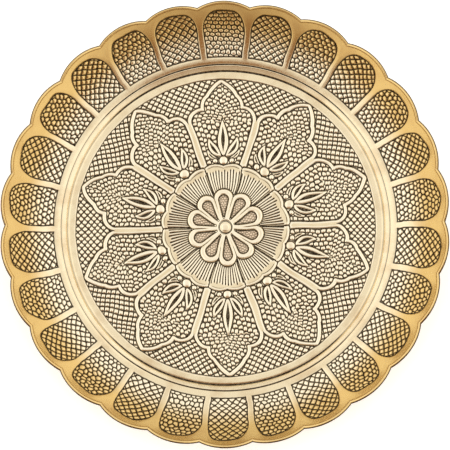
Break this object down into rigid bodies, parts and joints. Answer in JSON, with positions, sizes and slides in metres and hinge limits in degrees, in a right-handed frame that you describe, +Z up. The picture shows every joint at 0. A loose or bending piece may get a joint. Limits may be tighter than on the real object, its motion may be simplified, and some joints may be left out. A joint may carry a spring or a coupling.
{
  "type": "serving tray",
  "caption": "Round shallow serving tray with a scalloped, wired rim, a panelled flange that curves up, and an embossed flat floor.",
  "frame": {"origin": "centre of the tray, on the surface that it stands on", "axes": "+Z up along the tray's axis, towards the open side; +X from the centre to a valley between two scallops, +Y from the centre to the tip of a scallop"},
  "size_m": [0.3034, 0.305, 0.0252],
  "materials": {
    "pressed_brass": "polished brass sheet with dark patina left in the embossing",
    "brass_wire": "drawn, dull"
  },
  "bodies": {
    "root": {"tray_body": "pressed_brass", "rim_wire": "brass_wire"}
  },
  "joints": []
}
